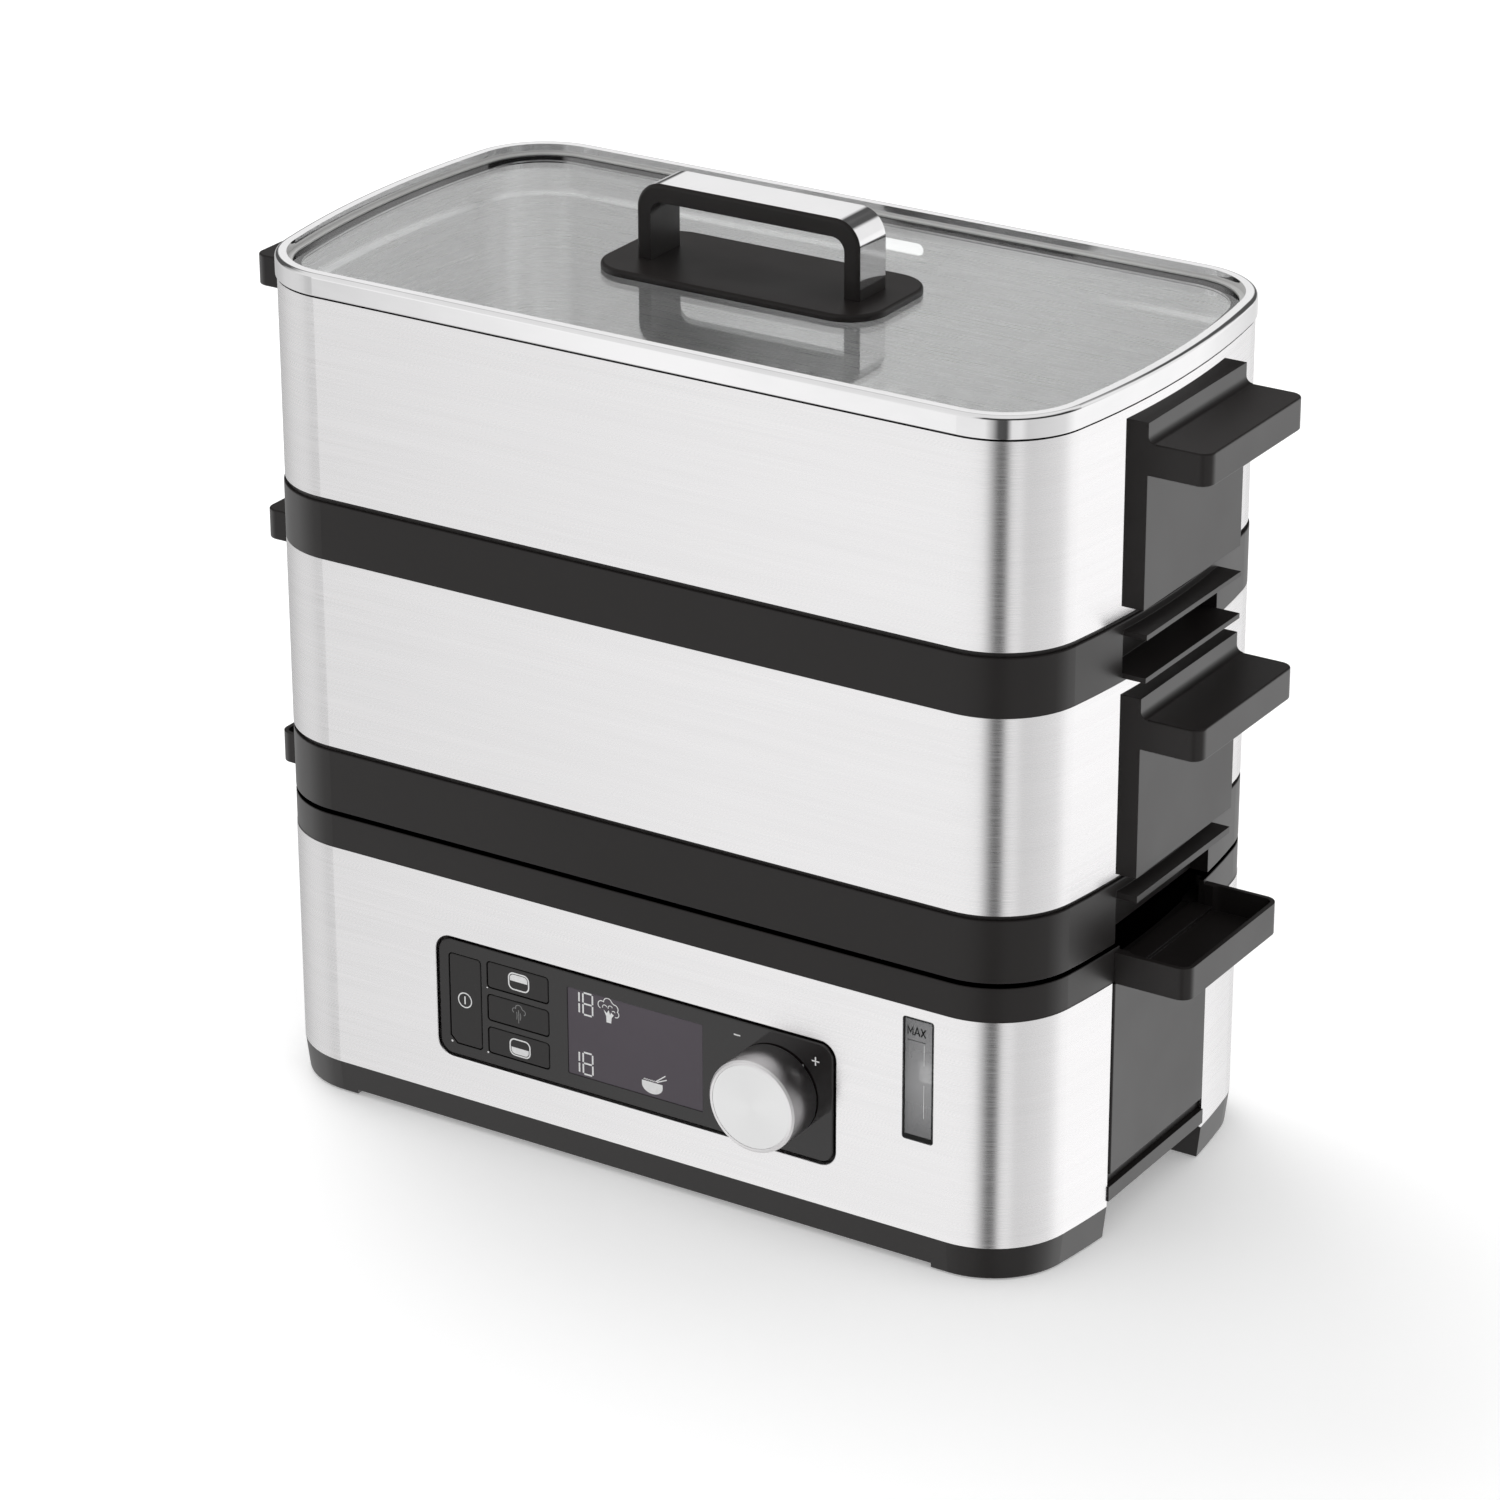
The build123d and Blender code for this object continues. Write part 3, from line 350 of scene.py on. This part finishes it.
class Print:
    """Thin printed shapes on an upright plane that faces the front; x and z in millimetres."""

    def __init__(self, name, y, body, finish, slot_name):
        self.mesh = bmesh.new()
        self.name, self.y, self.body, self.finish, self.slot_name = name, y, body, finish, slot_name

    def corner(self, x, z):
        return self.mesh.verts.new((x * MM, self.y * MM, z * MM))

    def fill(self, points):
        """A solid patch inside the points."""
        self.mesh.faces.new([self.corner(x, z) for x, z in points])

    def line(self, points, width, closed=False):
        """A band of even width along the points."""
        count = len(points)
        sides = []
        for i in range(count):
            here = Vector(points[i])
            before = Vector(points[i - 1]) if i or closed else None
            after = Vector(points[(i + 1) % count]) if i < count - 1 or closed else None
            runs = [(b - a).normalized() for a, b in ((before, here), (here, after)) if a and b]
            heading = sum(runs, Vector((0, 0))).normalized()
            across = Vector((-heading.y, heading.x))
            lean = abs(across.dot(Vector((-runs[0].y, runs[0].x))))
            offset = across * width / 2 / max(lean, MITRE_LIMIT)
            sides.append((self.corner(*(here + offset)), self.corner(*(here - offset))))
        last = count if closed else count - 1
        for i in range(last):
            a, b = sides[i], sides[(i + 1) % count]
            self.mesh.faces.new((a[0], a[1], b[1], b[0]))

    def finish_piece(self):
        """Gives the shapes their thickness and makes the object."""
        faces = list(self.mesh.faces)
        grown = bmesh.ops.extrude_face_region(self.mesh, geom=faces, use_keep_orig=True)
        moved = [v for v in grown["geom"] if isinstance(v, bmesh.types.BMVert)]
        bmesh.ops.translate(self.mesh, verts=moved, vec=(0, -PRINT_THICK * MM, 0))
        bmesh.ops.recalc_face_normals(self.mesh, faces=list(self.mesh.faces))
        data = bpy.data.meshes.new(self.name)
        self.mesh.to_mesh(data)
        self.mesh.free()
        data.materials.append(self.finish)
        piece = bpy.data.objects.new(self.name, data)
        bpy.context.scene.collection.objects.link(piece)
        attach(piece, self.body)


def arc(x, z, r, start=0, end=360, steps=28, squash=1.0):
    """Points round a centre, in degrees anticlockwise from the right."""
    turns = [radians(start + (end - start) * i / steps) for i in range(steps + (end - start < 360))]
    return [(x + r * cos(t), z + r * squash * sin(t)) for t in turns]


def rounded_box(x0, x1, z0, z1, r):
    """Points round an upright rectangle with round corners."""
    corners = ((x1 - r, z1 - r, 0), (x0 + r, z1 - r, 90), (x0 + r, z0 + r, 180), (x1 - r, z0 + r, 270))
    return [point for x, z, turn in corners for point in arc(x, z, r, turn, turn + 90, 5)]


def digit_strokes(x, z, width, height):
    """Seven-segment places: name to the two ends of each segment."""
    left, right, low, mid, high = x, x + width, z, z + height / 2, z + height
    gap = 0.35           # between two segments that meet, half of it at each
    return {
        "a": ((left + gap, high), (right - gap, high)),
        "b": ((right, high - gap), (right, mid + gap)),
        "c": ((right, mid - gap), (right, low + gap)),
        "d": ((left + gap, low), (right - gap, low)),
        "e": ((left, mid - gap), (left, low + gap)),
        "f": ((left, high - gap), (left, mid + gap)),
        "g": ((left + gap, mid), (right - gap, mid)),
    }


DIGIT_W, DIGIT_H, DIGIT_STROKE, DIGIT_PITCH = 3.9, 8.3, 0.62, 5.5
SEGMENTS = {"1": "bc", "8": "abcdefg"}


def digits(mark, text, x, z):
    """Lit digits from the left, their lower left corner at x and z."""
    for i, character in enumerate(text):
        strokes = digit_strokes(x + i * DIGIT_PITCH, z, DIGIT_W, DIGIT_H)
        for name in SEGMENTS[character]:
            mark.line(strokes[name], DIGIT_STROKE)


def power_mark(finish, panel_y):
    """A ring with an upright stroke in it."""
    mark = Print("power_mark", panel_y, "power_key", finish, "button_satin")
    mark.line(arc(-69.5, 50.9, 2.75), 0.42, closed=True)
    mark.line([(-69.5, 49.4), (-69.5, 52.4)], 0.5)
    mark.finish_piece()


def half_outline(points, edge, upper):
    """The part of an outline above or below a level edge."""
    keep_side = max if upper else min
    cut = [(x, keep_side(z, edge)) for x, z in points]
    kept = []
    for i, point in enumerate(cut):
        before, after = cut[i - 1], cut[(i + 1) % len(cut)]
        along_edge = before[1] == point[1] == after[1] == edge
        if point != before and not along_edge:
            kept.append(point)
    return kept


def tier_mark(name, body, z, upper, finish, panel_y):
    """A container with its upper or lower half filled."""
    mark = Print(name, panel_y, body, finish, "button_satin")
    x0, x1, z0, z1 = -50.8, -42.5, z - 3.1, z + 3.1
    mark.line(rounded_box(x0, x1, z0, z1, 2.0), 0.5, closed=True)
    inset = 0.55
    inner = rounded_box(x0 + inset, x1 - inset, z0 + inset, z1 - inset, 1.5)
    edge = z + (0.1 if upper else -0.1)
    mark.fill(half_outline(inner, edge, upper))
    mark.finish_piece()


def steam_mark(finish, panel_y):
    """A puff over three rising threads."""
    mark = Print("steam_mark", panel_y, "steam_key", finish, "button_satin")
    puff = arc(-48.6, 52.6, 0.9, 250, 60, 10) + arc(-46.9, 53.6, 1.35, 150, 10, 9)
    puff += arc(-45.1, 52.4, 1.0, 90, -70, 9)
    mark.line(puff, 0.28)
    for x, low, high in ((-47.75, 49.3, 52.2), (-47.0, 48.0, 53.0), (-46.25, 49.3, 52.0)):
        mark.line([(x, low), (x + 0.15, (low + high) / 2), (x, high)], 0.26)
    mark.finish_piece()


def panel_marks(finish, panel_y):
    """A minus and a plus beside the knob, its pointer dot, and a small lamp at three of the keys."""
    mark = Print("panel_marks", panel_y, "base_unit", finish, "gloss_panel")
    mark.line([(41.1, 67.5), (43.6, 67.5)], 0.5)
    for ends in ([(71.8, 66.0), (74.8, 66.0)], [(73.3, 66.3), (73.3, 67.6)], [(73.3, 65.7), (73.3, 64.4)]):
        mark.line(ends, 0.48)
    for x, z, r in ((68.4, 63.1, 0.36), (-75.35, 33.7, 0.42), (-59.95, 58.4, 0.26), (-60.15, 33.3, 0.36)):
        mark.fill(arc(x, z, r, steps=14))
    mark.finish_piece()


def display_marks(finish, lcd_y):
    """Lit digits for each tier, a head of vegetable beside the upper and a bowl by the lower."""
    mark = Print("display_marks", lcd_y, "base_unit", finish, "lcd_glass")
    digits(mark, "18", -25.6, 58.6)
    digits(mark, "18", -25.9, 35.7)
    stem = [(-11.6, 62.6), (-10.6, 60.4), (-10.5, 58.1), (-8.6, 58.1), (-8.4, 60.2), (-7.5, 61.4),
            (-8.6, 62.2), (-9.0, 61.2), (-9.6, 62.9), (-10.4, 61.6)]
    mark.fill(stem)
    crown = (arc(-12.4, 64.3, 1.5, 250, 60, 10) + arc(-9.9, 65.6, 1.7, 150, 20, 9)
             + arc(-7.3, 63.9, 1.6, 95, -20, 8) + arc(-6.6, 62.0, 1.2, 60, -110, 8))
    mark.line(crown, 0.32)
    curls = ((-11.2, 63.6, 0.9, 20, 200), (-8.9, 63.8, 0.9, 200, 20), (-7.6, 62.4, 0.6, 10, 160))
    for x, z, r, start, end in curls:
        mark.line(arc(x, z, r, start, end, 8), 0.28)
    mark.fill([(3.7, 40.1), (12.1, 40.1)] + arc(7.9, 38.7, 4.2, 0, -180, 18, 0.72))
    mark.line([(9.3, 40.7), (13.3, 43.9)], 0.4)
    mark.line([(9.8, 40.6), (13.8, 42.5)], 0.4)
    for i in range(5):
        mark.line(arc(4.9 + 0.95 * i, 40.45, 0.42, 180, 0, 6), 0.22)
    mark.finish_piece()


def window_marks(ink, pale, window_y):
    """A black border, the filling mark with its line, and the float's fine pale guide line."""
    border = Print("window_border", window_y, "base_unit", ink, "window_smoke")
    left, right, low, top = 107.3, 118.7, 47.3, 92.1
    inner_left, inner_right, inner_low, inner_top = left + 0.7, right - 0.5, low + 1.8, top - 0.4
    for x0, x1, z0, z1 in ((left, inner_left, low, top), (inner_right, right, low, top),
                           (inner_left, inner_right, low, inner_low),
                           (inner_left, inner_right, inner_top, top)):
        border.fill([(x0, z0), (x1, z0), (x1, z1), (x0, z1)])
    border.finish_piece()
    guide = Print("float_guide", window_y, "base_unit", pale, "window_smoke")
    for z0, z1 in ((56.2, 68.4), (75.6, 83.2)):
        guide.line([(115.25, z0), (115.25, z1)], 0.13)
    guide.finish_piece()
    mark = Print("level_marks", window_y, "base_unit", ink, "window_smoke")
    x, z, cap = 109.0, 86.0, 2.9
    for stroke in ([(0, 0), (0, cap), (0.95, 1.0), (1.9, cap), (1.9, 0)], [(2.5, 0), (3.5, cap), (4.5, 0)],
                   [(2.9, 1.0), (4.1, 1.0)], [(5.0, 0), (6.7, cap)], [(5.0, cap), (6.7, 0)]):
        mark.line([(x + across, z + up) for across, up in stroke], 0.45)
    mark.line([(108.8, 84.0), (115.9, 84.0)], 0.16)
    mark.finish_piece()


# ---- floor, light, camera ---------------------------------------------------------------------
FLOOR_RADIUS, FLOOR_Z = 6, -0.0002   # a hair under the feet
FLOOR_COLOR = (0.93, 0.93, 0.93)
FLOOR_GLOW = 0.25        # for camera rays alone

# What gloss rays meet round the studio: azimuth in degrees from +X towards +Y, and grey level.
LOW = [(-180, 0.75), (-163, 0.81), (-150, 0.81), (-141, 0.76), (-135, 0.64), (-128, 0.72), (-124, 1.17),
       (-117, 1.0), (-84, 1.0), (-75, 0.55), (-68, 0.10), (-58, 0.08), (-52, 0.92), (-41, 0.95), (-33, 0.74),
       (15, 0.86), (32, 1.16), (66, 1.16), (82, 0.85), (112, 0.85), (130, 0.55), (150, 0.56), (170, 0.66),
       (180, 0.75)]
MIDDLE = [(-180, 0.25), (-150, 0.9), (-100, 0.95), (-91, 0.5), (-86, 0.05), (28, 0.05), (44, 1.0), (66, 1.0),
          (72, 0.10), (180, 0.10)]
PANEL = [(-180, 0.0), (107, 0.0), (115, 1.0), (129, 1.0), (137, 0.0)]
PANEL_HEIGHT = [(0.20, 0.0), (0.27, 1.0), (0.54, 1.0), (0.60, 0.0)]
LOW_TO_MIDDLE = (-0.02, 0.08)        # heights of a ray's direction between which one passes into the next
MIDDLE_TO_CEILING = (0.58, 0.74)
CEILING = (0.9, 0.9, 0.9, 1)
AMBIENT = (0.80, 0.80, 0.80, 1)      # what lights matt surfaces
WHITE = (1, 1, 1, 1)

KEY_SIZE, KEY_POWER = 1.1, 11
KEY_AT, KEY_AIM = (-0.9, 0.5, 1.7), (0, 0, 0.15)

FOCAL_LENGTH, SENSOR_WIDTH = 131.388, 36
CAMERA_AT = (0.9252, -1.4590, 0.9006)
CAMERA_RIGHT = (0.845037, 0.534698, -0.003110)
CAMERA_UP = (-0.214640, 0.344534, 0.913907)
CAMERA_BACK = (0.489736, -0.771618, 0.405912)


def floor():
    """A wide floor that is white away from the object and keeps its shadow. Gloss rays pass through it to
    the even ground of the world below."""
    spot = (0, 0, FLOOR_Z)
    bpy.ops.mesh.primitive_circle_add(vertices=96, radius=FLOOR_RADIUS, fill_type="NGON", location=spot)
    ground = bpy.context.object
    ground.name = "floor"
    made, nodes, shader = material("floor", FLOOR_COLOR, 0.55, specular_ior_level=0.2)
    mottle(nodes, shader, FLOOR_COLOR, nodes.noise(3, detail=2), 0.995, 1.005)
    path = nodes.add("LightPath")
    glow = nodes.math("MULTIPLY", path.outputs["Is Camera Ray"], FLOOR_GLOW)
    glowing = nodes.add("Emission", {"Strength": glow})
    lifted = nodes.add("AddShader", {0: shader, 1: glowing})
    through = nodes.add("BsdfTransparent")
    mixed = nodes.add("MixShader", {0: path.outputs["Is Glossy Ray"], 1: lifted, 2: through})
    nodes.put(mixed, made.node_tree.nodes["Material Output"].inputs["Surface"])
    ground.data.materials.append(made)


def world():
    """White studio. Gloss rays meet a dark flag low at the front right corner, darker walls higher up with
    one bright panel in them, and a pale ceiling."""
    made = bpy.data.worlds.new("studio")
    bpy.context.scene.world = made
    made.use_nodes = True
    nodes = Nodes(made.node_tree)
    split = nodes.add("SeparateXYZ", {0: nodes.add("TexCoord").outputs["Generated"]})
    rise = split.outputs["Z"]
    turn = nodes.math("ARCTAN2", split.outputs["Y"], split.outputs["X"])
    around = nodes.math("ADD", nodes.math("DIVIDE", turn, 2 * pi), 0.5)

    def ring(stops):
        return nodes.ramp(around, [((180 + azimuth) / 360, level) for azimuth, level in stops])

    def passing(heights):
        return nodes.add("MapRange", {"Value": rise, 1: heights[0], 2: heights[1]})

    panel = nodes.math("MULTIPLY", ring(PANEL), nodes.ramp(rise, PANEL_HEIGHT))
    wall = nodes.add("MixRGB", {0: panel, 1: ring(MIDDLE), 2: WHITE})
    sides = nodes.add("MixRGB", {0: passing(LOW_TO_MIDDLE), 1: ring(LOW), 2: wall})
    gloss = nodes.add("MixRGB", {0: passing(MIDDLE_TO_CEILING), 1: sides, 2: CEILING})
    path = nodes.add("LightPath")
    straight = nodes.math("MAXIMUM", path.outputs["Is Camera Ray"], path.outputs["Is Transmission Ray"])
    soft = nodes.add("MixRGB", {0: path.outputs["Is Glossy Ray"], 1: AMBIENT, 2: gloss})
    seen = nodes.add("MixRGB", {0: straight, 1: soft, 2: WHITE})
    nodes.put(seen, made.node_tree.nodes["Background"].inputs["Color"])


def lamp():
    """One large soft lamp from the left rear, above; it leaves no reflection."""
    key = bpy.data.lights.new("key", "AREA")
    key.shape = "DISK"
    key.size = KEY_SIZE
    key.energy = KEY_POWER
    hung = bpy.data.objects.new("key", key)
    hung.location = KEY_AT
    hung.rotation_euler = (Vector(KEY_AIM) - hung.location).to_track_quat("-Z", "Y").to_euler()
    hung.visible_glossy = False
    bpy.context.scene.collection.objects.link(hung)


def camera():
    """The camera that was fitted to the photograph."""
    lens = bpy.data.cameras.new("camera")
    lens.lens = FOCAL_LENGTH
    lens.sensor_width = SENSOR_WIDTH
    lens.clip_end = 20
    turned = Matrix((CAMERA_RIGHT, CAMERA_UP, CAMERA_BACK)).transposed().to_4x4()
    seen_from = bpy.data.objects.new("camera", lens)
    seen_from.matrix_world = Matrix.Translation(Vector(CAMERA_AT)) @ turned
    bpy.context.scene.collection.objects.link(seen_from)
    bpy.context.scene.camera = seen_from


dress(make_materials())
white_ink = printed("print_white", 0.84, 0.04)
grey_ink = printed("print_grey", 0.22, 0.1)
black_ink = printed("print_black", 0.012, 0.1, specular_ior_level=0.1)

panel_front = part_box("control_panel")[0].y / MM
lcd_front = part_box("lcd_display")[0].y / MM
window_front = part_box("water_window")[0].y / MM
power_mark(white_ink, panel_front)
tier_mark("upper_tier_mark", "upper_tier_key", 63.7, True, white_ink, panel_front)
tier_mark("lower_tier_mark", "lower_tier_key", 38.3, False, white_ink, panel_front)
steam_mark(grey_ink, panel_front)
panel_marks(white_ink, panel_front)
display_marks(white_ink, lcd_front)
window_marks(black_ink, white_ink, window_front)

floor()
world()
lamp()
camera()
bpy.context.scene.view_settings.view_transform = "Standard"
